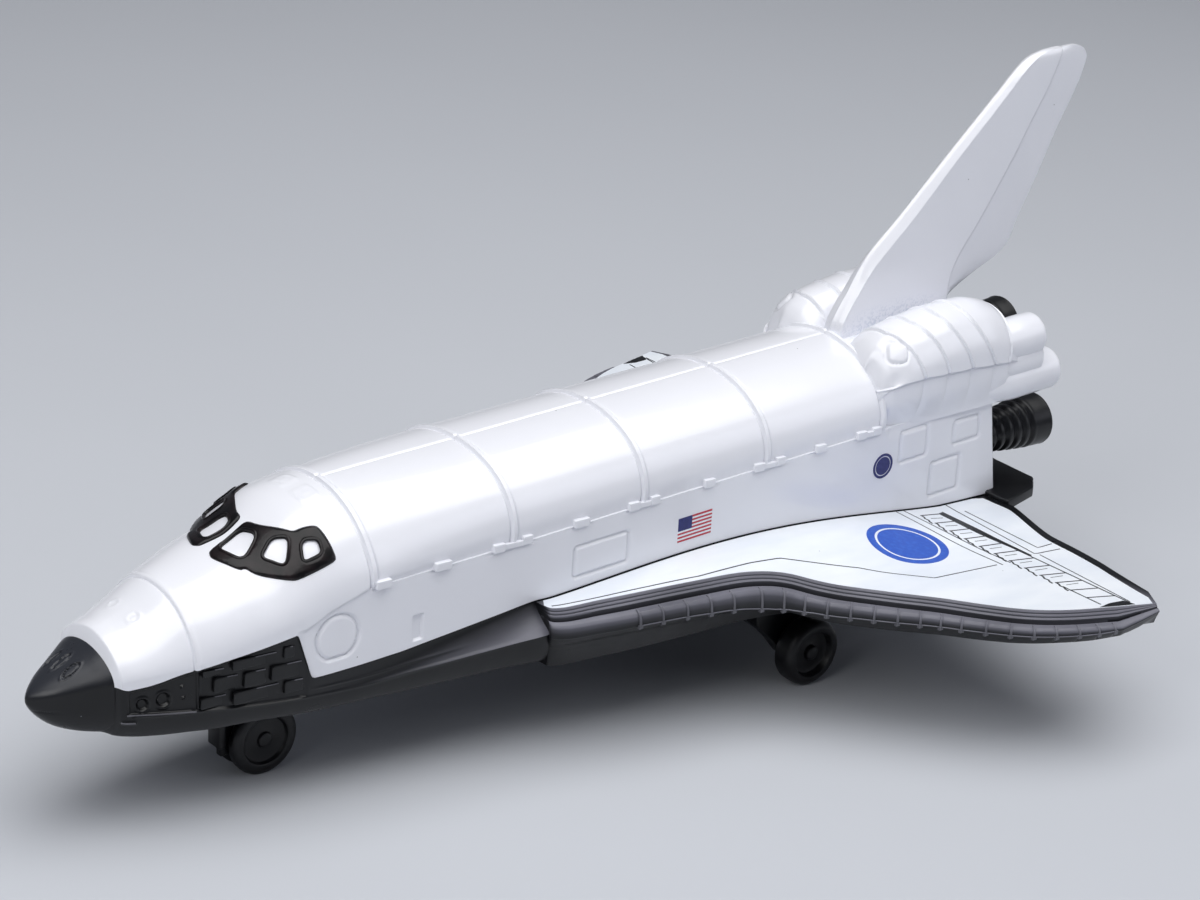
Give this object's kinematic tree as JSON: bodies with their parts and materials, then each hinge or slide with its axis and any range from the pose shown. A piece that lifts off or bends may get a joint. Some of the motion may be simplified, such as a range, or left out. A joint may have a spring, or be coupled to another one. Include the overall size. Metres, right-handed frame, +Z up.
{
  "type": "die-cast toy space shuttle",
  "caption": "Delta-winged toy spacecraft with a white metal upper casting, a black plastic base and free-rolling wheels.",
  "frame": {"origin": "centre of the toy's box, at the floor that its wheels stand on", "axes": "+X towards the nose, +Y towards port, +Z up"},
  "size_m": [0.1182, 0.073, 0.0553],
  "materials": {
    "white_enamel": "gloss enamel on cast metal",
    "black_plastic": "satin moulded",
    "wheel_plastic": "satin moulded",
    "steel": "drawn",
    "window_enamel": "gloss black paint on cast metal",
    "deck_print": "white pad print on moulded plastic",
    "black_print": "black pad print",
    "blue_print": "blue pad print",
    "red_print": "red pad print"
  },
  "bodies": {
    "shuttle": {"body_casting": "white_enamel", "base_moulding": "black_plastic", "engine_bell_top": "black_plastic", "engine_bell_port": "black_plastic", "engine_bell_starboard": "black_plastic", "rivet_front": "steel", "rivet_rear": "steel"},
    "nose_wheels": {"nose_axle": "steel", "nose_wheel_port": "wheel_plastic", "nose_wheel_starboard": "wheel_plastic"},
    "main_wheels": {"main_axle": "steel", "main_wheel_port": "wheel_plastic", "main_wheel_starboard": "wheel_plastic"}
  },
  "joints": [
    {"name": "nose_wheels_spin", "type": "hinge", "parent": "shuttle", "child": "nose_wheels", "pos_m": [0.03629, 0, 0.00329], "axis": [0, 1, 0], "continuous": true},
    {"name": "main_wheels_spin", "type": "hinge", "parent": "shuttle", "child": "main_wheels", "pos_m": [-0.01846, 0, 0.00329], "axis": [0, 1, 0], "continuous": true}
  ]
}
